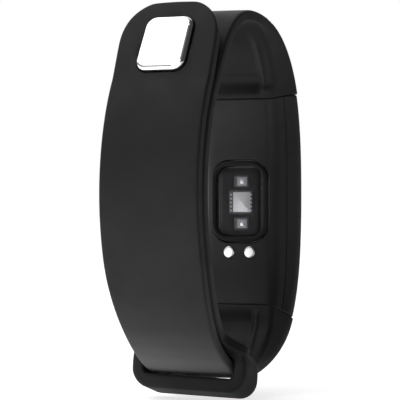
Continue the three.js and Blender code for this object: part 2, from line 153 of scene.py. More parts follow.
def lean(angle):
    """How much further round the inner face of a station lies, so that stations follow seams."""
    total = 0.0
    for out, inner, reach in ((UPPER_OUT, UPPER_IN, 14), (LOWER_OUT, LOWER_IN, 14),
                              (LOWER_OUT + 360, LOWER_IN + 360, 14)):
        away = np.clip((angle - out) / reach, -1, 1)
        total = total + (inner - out) * (1 - away ** 2) ** 2
    return total


# ---------------------------------------------------------------- sections and lofts

ARC = 6


def rounded_loop(corners, divisions):
    """Points round a closed polygon of (x, inset, radius) corners, its edges cut into parts.
    Returns the points and, for each, the edge it lies on, or -1 on a rounding."""
    count = len(corners)
    points, edges = [], []
    lengths = [math.dist(corners[i][:2], corners[(i + 1) % count][:2]) for i in range(count)]
    ends = []
    for i, (x, y, radius) in enumerate(corners):
        before, after = corners[i - 1], corners[(i + 1) % count]
        limit = 0.48 * min(lengths[i - 1], lengths[i])
        r = min(radius, limit)
        a = ((before[0] - x) * r / lengths[i - 1] + x, (before[1] - y) * r / lengths[i - 1] + y)
        b = ((after[0] - x) * r / lengths[i] + x, (after[1] - y) * r / lengths[i] + y)
        ends.append((a, (x, y), b))
    for i in range(count):
        a, corner, b = ends[i]
        for k in range(ARC + 1):
            t = k / ARC
            u = 1 - t
            points.append([u * u * a[0] + 2 * u * t * corner[0] + t * t * b[0],
                           u * u * a[1] + 2 * u * t * corner[1] + t * t * b[1]])
            edges.append(-1)
        target = ends[(i + 1) % count][0]
        for k in range(1, divisions[i]):
            t = k / divisions[i]
            points.append([b[0] + (target[0] - b[0]) * t, b[1] + (target[1] - b[1]) * t])
            edges.append(i)
    return np.array(points), np.array(edges)


def link(name, vertices, faces):
    """A mesh object from points in mm."""
    mesh = bpy.data.meshes.new(name)
    mesh.from_pydata([tuple(np.array(v) * MM) for v in vertices], [], faces)
    mesh.update()
    piece = bpy.data.objects.new(name, mesh)
    bpy.context.scene.collection.objects.link(piece)
    tidy_normals(piece)
    return piece


def tidy_normals(piece):
    work = bmesh.new()
    work.from_mesh(piece.data)
    bmesh.ops.recalc_face_normals(work, faces=work.faces)
    work.to_mesh(piece.data)
    work.free()
    for polygon in piece.data.polygons:
        polygon.use_smooth = True


def loft(name, rings, closed=False):
    """A skin over rings of equal size; its ends are capped unless it closes on itself."""
    size, count = len(rings[0]), len(rings)
    vertices = [point for ring in rings for point in ring]
    faces = []
    for i in range(count if closed else count - 1):
        for j in range(size):
            k, n = (j + 1) % size, (i + 1) % count
            faces.append((i * size + j, n * size + j, n * size + k, i * size + k))
    if not closed:
        faces.append(tuple(range(size)))
        faces.append(tuple(range((count - 1) * size, count * size)))
    return link(name, vertices, faces)


def stations(low, high, step, grooves=()):
    """Angles from low to high, with close ones next to each groove."""
    angles = list(np.linspace(low, high, max(2, round((high - low) / step)) + 1))
    for groove in grooves:
        side = 1 if abs(groove - low) < abs(groove - high) else -1
        angles += [groove + side * d for d in (0.08, 0.18, 0.32, 0.55, 0.8)]
    return sorted(set(round(a, 4) for a in angles))


# The rounding of the edges at the seams: its depth in mm and its reach in degrees.
GROOVE = 0.28
GROOVE_REACH = 0.6


def groove_depth(angle, grooves):
    """How far a station shrinks so that the edges at its seams are rounded."""
    total = 0.0
    for groove in grooves:
        near = max(0.0, 1 - abs(angle - groove) / GROOVE_REACH)
        total = max(total, GROOVE * (1 - math.sqrt(max(0.0, 1 - near ** 2))))
    return total


def band_ring(angle, corners, divisions, offset=0.0, grooves=(), relief=None, crown=0.0,
              inner_crown=0.0):
    """One ring of the band in XYZ, from a section's corners."""
    section, edges = rounded_loop(corners, divisions)
    thick = depth(angle)
    shrink = groove_depth(angle, grooves)
    x, inset = section[:, 0].copy(), section[:, 1].copy()
    if relief is not None:
        inset = inset - relief(angle, x, edges)
    if crown:
        wide = np.abs(x).max()
        inset = inset + crown * (x / wide) ** 2 * np.clip(1 - inset / thick, 0, 1)
    if inner_crown:
        wide = np.abs(x).max()
        inset = inset - inner_crown * (x / wide) ** 2 * np.clip(inset / thick, 0, 1)
    if shrink:
        middle, half = (inset.min() + inset.max()) / 2, (inset.max() - inset.min()) / 2
        x *= 1 - shrink / np.abs(x).max()
        inset = middle + (inset - middle) * (1 - shrink / half)
    turn = angle + lean(angle) * np.clip(inset / thick, 0, 1.2)
    y, z = oval(turn, offset - inset)
    return np.stack([x, y, z], axis=1)


def apply_modifiers(piece):
    """Keeps the mesh that the modifiers make."""
    graph = bpy.context.evaluated_depsgraph_get()
    mesh = bpy.data.meshes.new_from_object(piece.evaluated_get(graph))
    piece.modifiers.clear()
    old, piece.data = piece.data, mesh
    bpy.data.meshes.remove(old)
    return piece


def combine(piece, tool, operation="DIFFERENCE"):
    """Cuts or joins a piece with another, which is then gone."""
    modifier = piece.modifiers.new("combine", "BOOLEAN")
    modifier.operation = operation
    modifier.solver = "MANIFOLD"
    modifier.object = tool
    apply_modifiers(piece)
    bpy.data.objects.remove(tool)
    return piece


def sharpen(piece, degrees=30):
    """Smooth shading with sharp edges where the faces meet at more than an angle."""
    work = bmesh.new()
    work.from_mesh(piece.data)
    for edge in work.edges:
        edge.smooth = len(edge.link_faces) != 2 or edge.calc_face_angle(0) < math.radians(degrees)
    for face in work.faces:
        face.smooth = True
    work.to_mesh(piece.data)
    work.free()
    return piece


def place(piece, matrix):
    """Moves a piece's mesh by a matrix that is in metres."""
    piece.data.transform(matrix)
    return piece


def frame_on(offset_at, angle):
    """A matrix at a point of a layer: X across, Y outwards, Z along by rising angle."""
    (y0, z0), (y1, z1) = (oval(a, offset_at(a)) for a in (angle - 0.5, angle + 0.5))
    y, z = oval(angle, offset_at(angle))
    along = Vector((0, y1 - y0, z1 - z0)).normalized()
    across = Vector((1, 0, 0))
    out = along.cross(across)
    matrix = Matrix((across, out, along)).transposed().to_4x4()
    matrix.translation = Vector((0, y, z)) * MM
    return matrix


def outline(half_x, half_z, radius, corner=8):
    """A rounded rectangle's points in XZ, anticlockwise seen from -Y."""
    points = []
    for k, (sx, sz) in enumerate(((1, 1), (-1, 1), (-1, -1), (1, -1))):
        for i in range(corner + 1):
            a = math.radians(90 * (k + i / corner))
            points.append((sx * (half_x - radius) + radius * math.cos(a),
                           sz * (half_z - radius) + radius * math.sin(a)))
    return points


def plate(name, half_x, half_z, radius, levels, corner=8):
    """A solid of rounded-rectangle layers; levels are (y, how far the outline moves in)."""
    rings = []
    for y, inward in levels:
        r = max(radius - inward, 0.05)
        rings.append([(x, y, z) for x, z in outline(half_x - inward, half_z - inward, r, corner)])
    return loft(name, rings)


def tapered(piece):
    """Widens and leans a plate a little towards its lower end."""
    for vertex in piece.data.vertices:
        vertex.co.x *= 1 + PLATE_TAPER * vertex.co.z / MM
        vertex.co.x -= PLATE_LEAN * vertex.co.z
    return piece


def turned(name, profile, x, z, parts=48):
    """A solid turned about a line along Y; the profile is (radius, y) pairs."""
    rings = []
    for radius, y in profile:
        rings.append([(x + max(radius, 0.001) * math.cos(a), y, z + max(radius, 0.001) * math.sin(a))
                      for a in np.linspace(0, 2 * math.pi, parts, endpoint=False)])
    return loft(name, rings)


# ---------------------------------------------------------------- materials


class Shader:
    """A short way to build one Principled material."""

    def __init__(self, name):
        self.material = bpy.data.materials.new(name)
        self.material.use_nodes = True
        self.tree = self.material.node_tree
        self.surface = self.tree.nodes["Principled BSDF"]
        self.where = self.tree.nodes.new("ShaderNodeTexCoord").outputs["Object"]
        self.bump_out = None

    def constants(self, **values):
        for name, value in values.items():
            socket = self.surface.inputs[name.replace("_", " ")]
            socket.default_value = value
        return self

    def noise(self, scale, detail=4.0, roughness=0.55, stretch=None):
        node = self.tree.nodes.new("ShaderNodeTexNoise")
        node.inputs["Scale"].default_value = scale
        node.inputs["Detail"].default_value = detail
        node.inputs["Roughness"].default_value = roughness
        where = self.where
        if stretch:
            mapping = self.tree.nodes.new("ShaderNodeMapping")
            mapping.inputs["Scale"].default_value = stretch
            self.tree.links.new(where, mapping.inputs["Vector"])
            where = mapping.outputs["Vector"]
        self.tree.links.new(where, node.inputs["Vector"])
        return node.outputs["Fac"]

    def cells(self, scale, feature="F1"):
        node = self.tree.nodes.new("ShaderNodeTexVoronoi")
        node.feature = feature
        node.inputs["Scale"].default_value = scale
        self.tree.links.new(self.where, node.inputs["Vector"])
        return node.outputs["Distance"]

    def ramp(self, value, *stops):
        node = self.tree.nodes.new("ShaderNodeValToRGB")
        ramp = node.color_ramp
        while len(ramp.elements) < len(stops):
            ramp.elements.new(0.5)
        for element, (position, colour) in zip(ramp.elements, stops):
            element.position = position
            element.color = (*colour, 1) if isinstance(colour, tuple) else (colour,) * 3 + (1,)
        self.tree.links.new(value, node.inputs["Fac"])
        return node.outputs["Color"]

    def mix(self, factor, a, b):
        node = self.tree.nodes.new("ShaderNodeMix")
        node.data_type = "RGBA"
        for socket, value in ((node.inputs[0], factor), (node.inputs[6], a), (node.inputs[7], b)):
            if isinstance(value, bpy.types.NodeSocket):
                self.tree.links.new(value, socket)
            else:
                socket.default_value = value
        return node.outputs[2]

    def to(self, name, value):
        self.tree.links.new(value, self.surface.inputs[name])
        return self

    def bump(self, height, strength, distance):
        node = self.tree.nodes.new("ShaderNodeBump")
        node.inputs["Strength"].default_value = strength
        node.inputs["Distance"].default_value = distance
        self.tree.links.new(height, node.inputs["Height"])
        if self.bump_out is not None:
            self.tree.links.new(self.bump_out, node.inputs["Normal"])
        self.bump_out = node.outputs["Normal"]
        self.tree.links.new(self.bump_out, self.surface.inputs["Normal"])
        return self


def grey(value):
    return (value, value, value)


# The lower front of the strap is painted paler. The paint stands in for a highlight there that
# these lights don't give, and isn't a mark that the real rubber is known to have. A tone of 0
# leaves it out. The rest is a direction down the front of the strap, and where along it, in
# metres, the paint begins and is full.
PAINTED_HIGHLIGHT_TONE = 0.15
PAINTED_HIGHLIGHT_ALONG, PAINTED_HIGHLIGHT_RANGE = (0.0, 0.35, 1.0), (-0.0215, -0.0305)


def silicone(name, tone, rough, paler=0.0):
    """Matte moulded silicone: fine skin grain, soft flow marks, a few specks of lint and, if asked
    for, a painted highlight: a paler stretch where the mesh is marked for one."""
    made = Shader(name).constants(Sheen_Weight=0.02, Sheen_Roughness=0.4, IOR=1.42,
                                  Specular_IOR_Level=0.32)
    flow = made.ramp(made.noise(90, 5), (0.3, grey(tone * 0.86)), (0.7, grey(tone * 1.16)))
    speck = made.ramp(made.noise(5200, 2), (0.73, grey(0.0)), (0.79, grey(0.35)))
    skin = made.mix(speck, flow, (0.2, 0.2, 0.2, 1))
    # A painted highlight: the stretch marked on the mesh is painted paler.
    if paler:
        mark = made.tree.nodes.new("ShaderNodeAttribute")
        mark.attribute_name = "paler"
        amount = made.ramp(mark.outputs["Fac"], (0.0, grey(0)), (0.51, grey(0.1)), (0.75, grey(0.28)),
                           (0.88, grey(0.5)), (1.0, grey(1)))
        skin = made.mix(amount, skin, (paler, paler, paler, 1))
    made.to("Base Color", skin)
    made.to("Roughness", made.ramp(made.noise(240, 6), (0.3, grey(rough - 0.05)),
                                   (0.75, grey(rough + 0.07))))
    made.bump(made.noise(1500, 6, 0.7), 0.12, 0.00006)
    return made.bump(made.noise(7000, 3, 0.6), 0.25, 0.00002).material


def moulded(name, tone, rough, gleam=0.35, grain=9000, strength=0.22):
    """Fine spark-eroded plastic."""
    made = Shader(name).constants(IOR=1.46, Specular_IOR_Level=gleam)
    made.to("Base Color", made.ramp(made.noise(130, 4), (0.3, grey(tone * 0.85)),
                                    (0.7, grey(tone * 1.15))))
    made.to("Roughness", made.ramp(made.noise(420, 5), (0.3, grey(rough - 0.05)),
                                   (0.7, grey(rough + 0.06))))
    return made.bump(made.noise(grain, 3, 0.65), strength, 0.000025).material


def polished_metal(name, colour, rough, wave=0.05):
    """Mirror-polished metal with faint hairlines and a hint of orange peel."""
    made = Shader(name).constants(Metallic=1.0)
    duller = tuple(c * 0.96 for c in colour)
    made.to("Base Color", made.ramp(made.noise(200, 3), (0.3, duller), (0.7, colour)))
    lines = made.noise(900, 8, 0.7, stretch=(9, 1, 1))
    made.to("Roughness", made.ramp(lines, (0.35, grey(rough)), (0.75, grey(rough + 0.06))))
    return made.bump(made.noise(160, 2), wave, 0.00004).material


def plain_metal(name, colour, rough):
    """Drawn or pressed steel with a fine directional grain."""
    made = Shader(name).constants(Metallic=1.0)
    grain = made.noise(1400, 6, 0.7, stretch=(1, 8, 1))
    made.to("Base Color", made.ramp(grain, (0.3, tuple(c * 0.8 for c in colour)), (0.7, colour)))
    made.to("Roughness", made.ramp(grain, (0.3, grey(rough)), (0.7, grey(rough + 0.15))))
    return made.bump(grain, 0.15, 0.00002).material


def circuit_board(name, colour):
    """Solder mask with darker tracks and bright pads."""
    made = Shader(name).constants(Coat_Weight=0.3, Coat_Roughness=0.2)
    tracks = made.ramp(made.cells(900, "DISTANCE_TO_EDGE"), (0.04, 1.0), (0.09, 0.0))
    mask = made.mix(tracks, (*colour, 1), (*(c * 1.9 for c in colour), 1))
    pads = made.ramp(made.cells(1500), (0.10, 1.0), (0.14, 0.0))
    made.to("Base Color", made.mix(pads, mask, (0.55, 0.42, 0.16, 1)))
    made.to("Roughness", made.ramp(made.noise(500), (0.3, 0.35), (0.7, 0.5)))
    return made.bump(made.cells(1500), 0.2, 0.00003).material


def gloss_black(name, tone, rough):
    """Hard-coated lens with the faintest smears."""
    made = Shader(name).constants(IOR=1.5, Coat_Weight=0.6, Coat_Roughness=0.03)
    made.to("Base Color", made.ramp(made.noise(60, 3), (0.3, grey(tone * 0.8)), (0.7, grey(tone * 1.2))))
    smears = made.noise(70, 6, 0.7, stretch=(1, 1, 3))
    return made.to("Roughness", made.ramp(smears, (0.4, grey(rough)), (0.8, grey(rough + 0.09)))).material


# Lower than a real pane's, so that the small front light doesn't veil the dies behind it.
PANE_IOR = 1.14


def tinted_window(name):
    """Clear moulded window, a little smoky, with soft smears on its face."""
    made = Shader(name)
    tree = made.tree
    clear = tree.nodes.new("ShaderNodeBsdfTransparent")
    smoke = made.ramp(made.noise(80, 3), (0.3, (0.84, 0.84, 0.86)), (0.7, (0.90, 0.90, 0.92)))
    tree.links.new(smoke, clear.inputs["Color"])
    shine = tree.nodes.new("ShaderNodeBsdfGlossy")
    smears = made.ramp(made.noise(120, 6, 0.7), (0.4, 0.10), (0.85, 0.22))
    tree.links.new(smears, shine.inputs["Roughness"])
    tree.links.new(made.ramp(made.noise(200, 3), (0.3, 0.8), (0.7, 0.95)), shine.inputs["Color"])
    edge = tree.nodes.new("ShaderNodeFresnel")
    edge.inputs["IOR"].default_value = PANE_IOR
    mix = tree.nodes.new("ShaderNodeMixShader")
    tree.links.new(edge.outputs[0], mix.inputs["Fac"])
    tree.links.new(clear.outputs[0], mix.inputs[1])
    tree.links.new(shine.outputs[0], mix.inputs[2])
    tree.links.new(mix.outputs[0], tree.nodes["Material Output"].inputs["Surface"])
    tree.nodes.remove(made.surface)
    return made.material


def packaged_chip(name, low, high, rough, scale=1800, metallic=0.0):
    """A chip's face: etched cells of two tones."""
    made = Shader(name).constants(IOR=1.5, Metallic=metallic)
    cells = made.ramp(made.cells(scale, "DISTANCE_TO_EDGE"), (0.02, low), (0.08, high))
    made.to("Base Color", cells)
    made.to("Roughness", made.ramp(made.noise(700), (0.3, grey(rough)), (0.7, grey(rough + 0.15))))
    return made.bump(made.cells(scale), 0.15, 0.00002).material


def foil(name, colour):
    """Crinkled laminated foil."""
    made = Shader(name).constants(Metallic=0.7)
    crinkle = made.noise(500, 6, 0.7)
    made.to("Base Color", made.ramp(crinkle, (0.3, tuple(c * 0.8 for c in colour)), (0.7, colour)))
    made.to("Roughness", made.ramp(crinkle, (0.3, 0.3), (0.7, 0.5)))
    return made.bump(crinkle, 0.4, 0.0001).material


LOOKS = {
    "strap_rubber": silicone("silicone_strap", 0.0135, 0.56, PAINTED_HIGHLIGHT_TONE),
    "loop_rubber": silicone("silicone_loop", 0.013, 0.56),
    "gasket_rubber": silicone("silicone_gasket", 0.03, 0.7),
    "housing_plastic": moulded("soft_touch_black", 0.014, 0.50),
    "anchor_plastic": moulded("nylon_insert", 0.045, 0.6),
    "baffle_plastic": moulded("baffle_black", 0.007, 0.8, 0.1),
    "lens_glass": gloss_black("lens_black", 0.006, 0.06),
    "display_glass": gloss_black("display_black", 0.012, 0.1),
    "sensor_glass": tinted_window("smoky_window"),
    "clasp_metal": polished_metal("polished_steel", (0.93, 0.93, 0.92), 0.05),
    "contact_metal": polished_metal("plated_contact", (0.95, 0.94, 0.93), 0.3, 0.1),
    "motor_steel": plain_metal("pressed_steel", (0.55, 0.55, 0.56), 0.3),
    "rotor_metal": plain_metal("sintered_weight", (0.36, 0.35, 0.34), 0.45),
    "pin_steel": plain_metal("ground_pin", (0.6, 0.6, 0.6), 0.25),
    "can_metal": plain_metal("shield_plate", (0.62, 0.63, 0.65), 0.32),
    "battery_foil": foil("pouch_foil", (0.52, 0.53, 0.55)),
    "board_green": circuit_board("green_board", (0.02, 0.10, 0.04)),
    "board_black": circuit_board("black_board", (0.008, 0.008, 0.008)),
    "flex_film": moulded("amber_film", 0.3, 0.4),
    "photodiode_die": packaged_chip("photodiode_grey", grey(0.75), grey(0.9), 0.32, 1800, 0.6),
    "led_package": packaged_chip("led_ceramic", grey(0.3), grey(0.42), 0.45),
}
WINDOW_CLEAR = tinted_window("window_clear")
BEZEL = moulded("window_bezel", 0.012, 0.45, 0.14)
LED_DIE = packaged_chip("led_die", grey(0.95), grey(0.99), 0.2, 9000, 1.0)
LED_CUP = packaged_chip("led_cup", grey(0.4), grey(0.6), 0.4, 2600, 0.3)
BOND_PAD = moulded("bond_pad", 0.9, 0.3)
PACKAGE = packaged_chip("package_body", grey(0.12), grey(0.17), 0.4)


def dress(piece, look, body=None, stands_for=()):
    """Gives a piece its material and body, and hides the CAD nodes that it stands for."""
    piece.data.materials.clear()
    piece.data.materials.append(LOOKS[look] if isinstance(look, str) else look)
    if stands_for:
        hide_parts(*stands_for)
    if body:
        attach(piece, body)
    return piece


# ---------------------------------------------------------------- straps


def strap_corners(angle, width, more=0.0):
    """A strap's section at a station; more is added to its thickness."""
    thick = depth(angle) + more
    inner = width - FLANK_SLOPE * (thick - STRAP)
    side = min(SIDE, 0.5 * thick)
    return [(width, 0, 0.62), (width, side, 0.9), (inner, thick, 0.75),
            (-inner, thick, 0.75), (-width, side, 0.9), (-width, 0, 0.62)]


# How finely a strap's section is cut, edge by edge, and which of its edges faces the wrist.
STRAP_PARTS = [2, 10, 64, 10, 2, 18]
INNER_EDGE = 2
# Stations along the straps, in degrees: their spacing, and the span of closer ones at the tip.
STEP, TIP_SPAN = 0.8, 18
EDGE_ROUNDING = 0.9
OUTER_CROWN = 0.12
# The inner layer is a little thicker than in the CAD model where it lies under the free tail.
THICKER = 0.25
HOLES, HOLE_PITCH, HOLE_X, HOLE_Z, HOLE_SHIFT = 8, 14, 1.85, 2.75, 0.8


def bump(x, middle, spread):
    return np.exp(-((x - middle) / spread) ** 2)


def scoop_relief(seam_in, widths, reach, pocket, steps):
    """The rubber is scooped out behind a cross wall next to the seam, first deep and then
    shallow, between two soft ridges. pocket holds the two depths, steps where each begins."""
    home = np.array(oval(seam_in, -depth(seam_in)))

    def relief(angle, x, edges):
        turn = angle + lean(angle)
        away = math.dist(home, oval(turn, -depth(turn)))
        half = widths[0] + (widths[1] - widths[0]) * np.clip(away / reach, 0, 1)
        across = 1 - smooth(half - 1.1, half, np.abs(x))
        fade = 1 - smooth(reach * 0.55, reach, away)
        deep = smooth(steps[0], steps[0] + 1.9, away) * (1 - smooth(steps[1], steps[2], away))
        floor = pocket[1] * smooth(steps[0], steps[0] + 1.9, away) + (pocket[0] - pocket[1]) * deep
        ridge = 0.17 * bump(np.abs(x), half + 0.2, 0.34) * smooth(0.8, 2.2, away)
        return np.where(edges == INNER_EDGE, (floor * across - ridge) * fade, 0)
    return relief


def long_strap():
    """Lower strap and free tail in one: out of the module, through the loop, up to the tip."""
    start, end = LOWER_OUT + 360, TIP
    grooves = (start,)
    angles = stations(end + TIP_SPAN, start, STEP, grooves)
    near_tip = [end + TIP_SPAN * (1 - math.cos(math.radians(t))) for t in np.linspace(0, 88, 46)]
    angles = sorted(set(near_tip + [a for a in angles if a > near_tip[-1] + 0.2]))
    relief = scoop_relief(LOWER_IN + 360, (4.3, 5.2), 13.0, (1.25, 0.4), (0.7, 4.6, 5.2))
    rings = []
    for angle in angles:
        from_tip = (angle - end) * TIP_ARC
        width = half_width(angle)
        thin = 1.0
        if from_tip < TIP_ROUNDING:
            width *= (1 - (1 - from_tip / TIP_ROUNDING) ** 2.5) ** (1 / 2.5)
        if from_tip < EDGE_ROUNDING:
            thin = math.sqrt(max(0.0, 1 - (1 - from_tip / EDGE_ROUNDING) ** 2))
        corners = strap_corners(angle, max(width, 0.02))
        middle = depth(angle) / 2
        corners = [(x, middle + (inset - middle) * max(thin, 0.02), r) for x, inset, r in corners]
        rings.append(band_ring(angle, corners, STRAP_PARTS, clasp_offset(angle), grooves,
                               relief if angle > 270 else None, OUTER_CROWN))
    strap = loft("long_strap", rings)
    grow = 0.16
    seat = plate("seat", PLATE_X + grow, PLATE_Z + grow, PLATE_RADIUS + grow,
                 [(1.5, -1.2), (0.06, -0.3), (-0.06, -0.14), (-0.3, 0.0), (-PLATE_SUNK - 0.1, 0.0)], 14)
    return sharpen(combine(strap, place(tapered(seat), frame_on(clasp_offset, PLATE_ANGLE))), 50)


def loop_matrix():
    """The keeper loop's axes: X across, Y outwards, Z along the band, a little aslant."""
    slant = Matrix.Identity(4)
    slant[2][1] = LOOP_SLANT
    return (frame_on(lambda a: 0.0, LOOP_ANGLE) @ Matrix.Rotation(math.radians(LOOP_ROLL), 4, "Z")
            @ slant)


def loop_ring():
    """The keeper loop: a rounded bar swept round a rounded rectangle."""
    top, bottom = -2 * STRAP - LAYER_GAP, LOOP_SLACK + LOOP_BAR
    top_bar = -STRAP - LOOP_RISE - top
    low, high = top + top_bar / 2, bottom - LOOP_BAR / 2
    middle, mid_y = (low + high) / 2, (high - low) / 2
    path = outline(LOOP_HALF_WIDTH - LOOP_WALL / 2, mid_y, 2.1, 8)
    dense = []
    for i, a in enumerate(path):
        b = path[(i + 1) % len(path)]
        parts = max(1, round(math.dist(a, b) / 0.5))
        dense += [(a[0] + (b[0] - a[0]) * k / parts, a[1] + (b[1] - a[1]) * k / parts)
                  for k in range(parts)]
    rings = []
    count = len(dense)
    for i, (x, y) in enumerate(dense):
        before, after = dense[i - 1], dense[(i + 1) % count]
        tx, ty = after[0] - before[0], after[1] - before[1]
        size = math.hypot(tx, ty)
        nx, ny = ty / size, -tx / size
        upright = abs(nx)
        level = LOOP_BAR if y > 0 else top_bar
        thick = (LOOP_WALL * upright + level * (1 - upright)) / 2
        long = LOOP_LENGTH / 2
        section, _ = rounded_loop([(thick, long, 0.8), (-thick, long, 0.6), (-thick, -long, 0.6),
                                   (thick, -long, 0.8)], [14, 4, 14, 4])
        rings.append([(x + nx * u, middle + y + ny * u, v) for u, v in section])
    return place(loft("loop_ring", rings, closed=True), loop_matrix())


def peg_holes():
    """Cutters for the row of peg holes, with flared mouths."""
    cutters = []
    for row in range(HOLES):
        if row == 0:
            matrix = frame_on(clasp_offset, PLATE_ANGLE)
            face = float(inner_offset(PLATE_ANGLE) - clasp_offset(PLATE_ANGLE))
        else:
            matrix = frame_on(inner_offset, PLATE_ANGLE + HOLE_PITCH * row)
            face = 0.0
        levels = [(face + 1.5, -1.2), (face + 0.02, -0.32), (face - 0.1, -0.16), (face - 0.35, 0.0),
                  (face - STRAP + 0.35, 0.0), (face - STRAP + 0.1, -0.16),
                  (face - STRAP - 0.02, -0.32), (face - STRAP - 1.5, -1.2)]
        hole = plate(f"hole_{row}", HOLE_X, HOLE_Z, HOLE_X - 0.01, levels, 10)
        place(hole, matrix @ Matrix.Translation((0, 0, HOLE_SHIFT * MM)))
        cutters.append(hole)
    return cutters


def inner_strap():
    """Upper strap, its shoulders and the keeper loop, moulded in one."""
    grooves = (UPPER_OUT,)
    relief = scoop_relief(UPPER_IN, (5.3, 6.0), 15.0, (0.85, 0.5), (0.6, 3.2, 4.6))
    rings = []
    for angle in stations(UPPER_OUT, LOOP_ANGLE - 5.5, STEP, grooves):
        width = half_width(angle)
        width += (LOOP_HALF_WIDTH - 0.1 - width) * smooth(236, 250, angle)
        more = THICKER * smooth(100, 130, angle) * (1 - smooth(225, 245, angle))
        corners = strap_corners(angle, width, more)
        rings.append(band_ring(angle, corners, STRAP_PARTS, inner_offset(angle), grooves,
                               relief if angle < 90 else None, OUTER_CROWN))
    strap = loft("inner_strap", rings)
    combine(strap, loop_ring(), "UNION")
    for cutter in peg_holes():
        combine(strap, cutter)
    soften(strap)
    return sharpen(strap, 50)


def soften(strap):
    """Rounds the inner corners where the strap runs into the loop, as a mould does."""
    matrix = loop_matrix()
    along = matrix.to_3x3().col[2]
    joint = matrix @ (Vector((0, -3.6, -LOOP_LENGTH / 2)) * MM)
    work = bmesh.new()
    work.from_mesh(strap.data)
    near = [v for v in work.verts if abs((v.co - joint).dot(along)) < 1.3 * MM]
    for _ in range(6):
        bmesh.ops.smooth_vert(work, verts=near, factor=0.5, use_axis_x=True, use_axis_y=True,
                              use_axis_z=True)
    work.to_mesh(strap.data)
    work.free()


# ---------------------------------------------------------------- module shells


# Gaps: at the seams in degrees, and half the one at the parting line in mm.
SEAM_GAP = 0.05
PARTING_GAP = 0.004
WINDOW_RADIUS = 3.5
RIM = 1.08


def corners_mm(node):
    low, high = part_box(node)
    return [v / MM for v in low], [v / MM for v in high]


def module_stations():
    seams = (LOWER_OUT + SEAM_GAP, UPPER_OUT - SEAM_GAP)
    return stations(seams[0], seams[1], 0.9, seams), seams


def flank_x(thick, inset):
    """Half width of the module at an inset from its outer face."""
    inner = HALF_WIDTH - FLANK_SLOPE * (thick - STRAP)
    share = (inset - SIDE) / (thick - SIDE)
    return HALF_WIDTH + (inner - HALF_WIDTH) * max(0.0, share)


def module_back():
    angles, seams = module_stations()
    rings = []
    for angle in angles:
        thick = depth(angle)
        split = PARTING * thick + PARTING_GAP
        inner = HALF_WIDTH - FLANK_SLOPE * (thick - STRAP)
        edge = flank_x(thick, split)
        corners = [(edge, split, PARTING_GAP), (inner, thick, 2.1), (-inner, thick, 2.1),
                   (-edge, split, PARTING_GAP)]
        rings.append(band_ring(angle, corners, [14, 40, 14, 20], 0, seams, None, 0.0, 0.28))
    shell = loft("module_back", rings)
    hollow = []
    for angle in np.linspace(LOWER_OUT + 3, UPPER_OUT - 3, 30):
        thick = depth(angle)
        inner = HALF_WIDTH - FLANK_SLOPE * (thick - STRAP)
        split = PARTING * thick - 1
        corners = [(flank_x(thick, split) - WALL, split, 0.3), (inner - 0.9, thick - WALL, 0.5),
                   (0.9 - inner, thick - WALL, 0.5), (WALL - flank_x(thick, split), split, 0.3)]
        hollow.append(band_ring(angle, corners, [4, 8, 4, 8]))
    combine(shell, loft("hollow", hollow))
    low, high = corners_mm("sensor_window")
    face = low[1] + 0.18
    opening = plate("opening", high[0] + 0.1, (high[2] - low[2]) / 2 + 0.1, WINDOW_RADIUS + 0.1,
                    [(face - 1.5, -1.8), (face - 0.05, -0.34), (face + 0.1, -0.1), (face + 0.3, 0),
                     (face + 3, 0)], 12)
    place(opening, Matrix.Translation((0, 0, (low[2] + high[2]) / 2 * MM)))
    combine(shell, opening)
    for side in ("left", "right"):
        low, high = corners_mm(f"charge_contact_{side}")
        face = low[1] + 0.2
        profile = [(2.6, face - 1.5), (1.3, face - 0.06), (1.14, face + 0.1), (1.14, face + 3)]
        x, z = (low[0] + high[0]) / 2, (low[2] + high[2]) / 2
        combine(shell, turned("contact_hole", profile, x, z, 40))
    return sharpen(shell, 32)


def module_front():
    angles, seams = module_stations()
    rings = []
    for angle in angles:
        thick = depth(angle)
        split = PARTING * thick - PARTING_GAP
        edge = flank_x(thick, split)
        corners = [(HALF_WIDTH, 0, 1.1), (HALF_WIDTH, SIDE + 0.6, 1.4), (edge, split, PARTING_GAP),
                   (-edge, split, PARTING_GAP), (-HALF_WIDTH, SIDE + 0.6, 1.4), (-HALF_WIDTH, 0, 1.1)]
        rings.append(band_ring(angle, corners, [3, 10, 20, 10, 3, 30], 0, seams, None, 0.35))
    shell = loft("module_front", rings)
    hollow, recess = [], []
    for angle in np.linspace(LOWER_OUT + 3, UPPER_OUT - 3, 30):
        thick = depth(angle)
        below = PARTING * thick + 1
        corners = [(7.5, 1.9, 0.4), (flank_x(thick, below) - WALL, below, 0.3)]
        corners += [(-x, y, r) for x, y, r in reversed(corners)]
        hollow.append(band_ring(angle, corners, [4, 8, 4, 8]))
    combine(shell, loft("hollow", hollow))
    for angle in np.linspace(LENS_FROM - 0.25, LENS_TO + 0.25, 70):
        wide = LENS_X + 0.1
        corners = [(wide, -1, 0.1), (wide, 1.0, 0.1), (-wide, 1.0, 0.1), (-wide, -1, 0.1)]
        recess.append(band_ring(angle, corners, [2, 14, 2, 14]))
    combine(shell, loft("recess", recess))
    return sharpen(shell, 32)


def front_lens():
    """Curved lens, flush with the housing, its edge rounded all the way round."""
    rings = []
    low, high = LENS_FROM, LENS_TO
    angles = sorted(set(list(np.linspace(low, high, 90)) + [low + d for d in (0.1, 0.25, 0.5)]
                        + [high - d for d in (0.1, 0.25, 0.5)]))
    for angle in angles:
        away = min(angle - low, high - angle)
        drop = 0.3 * (1 - math.sqrt(max(0.0, 1 - max(0.0, 1 - away / 0.6) ** 2)))
        corners = [(LENS_X, 0.02 + drop, 0.4), (LENS_X, 0.88, 0.1), (-LENS_X, 0.88, 0.1),
                   (-LENS_X, 0.02 + drop, 0.4)]
        rings.append(band_ring(angle, corners, [2, 20, 2, 40], 0, (), None, 0.25))
    return sharpen(loft("lens", rings), 35)


# ---------------------------------------------------------------- sensor and contacts


